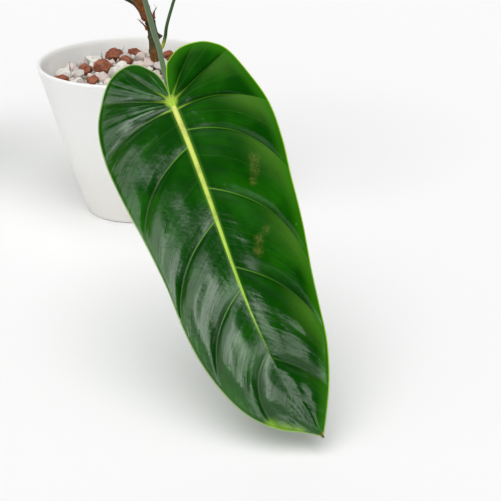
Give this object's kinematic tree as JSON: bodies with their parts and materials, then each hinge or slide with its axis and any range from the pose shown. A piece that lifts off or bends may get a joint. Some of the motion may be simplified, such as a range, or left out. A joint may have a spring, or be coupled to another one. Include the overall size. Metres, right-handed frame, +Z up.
{
  "type": "potted philodendron plant",
  "caption": "House plant with long heart-shaped quilted leaves on arching petioles, standing in a plain tapered white pot filled with pumice and lava stones.",
  "frame": {"origin": "centre of the underside of the pot, on the surface it stands on", "axes": "+Z up along the axis of the pot, -Y towards the viewer and the hanging front leaf, +X to the right of the viewer"},
  "size_m": [0.5545, 0.5475, 0.3697],
  "materials": {
    "pot": "smooth white satin wall",
    "pumice": "rough porous off-white and pinkish pumice",
    "lava": "rough porous red-brown lava",
    "stem": "dull olive to dark brown bark",
    "leaf": "waxy dark green leaf with a yellow-green midrib",
    "sheath": "dry papery orange-brown sheath"
  },
  "bodies": {
    "root": {"pot": "pot", "pumice_bed": "pumice", "lava_stone_01": "lava", "lava_stone_02": "lava", "lava_stone_03": "lava", "lava_stone_04": "lava", "lava_stone_05": "lava", "lava_stone_06": "lava", "lava_stone_07": "lava", "lava_stone_08": "lava", "lava_stone_09": "lava", "lava_stone_10": "lava", "lava_stone_11": "lava", "lava_stone_12": "lava", "lava_stone_13": "lava", "lava_stone_14": "lava", "lava_stone_15": "lava", "lava_stone_16": "lava", "lava_stone_17": "lava", "stem": "stem", "leaf_front": "leaf", "leaf_left": "leaf", "leaf_right": "leaf", "sheath_tip": "sheath", "sheath_left": "sheath", "sheath_right": "sheath"}
  },
  "joints": []
}
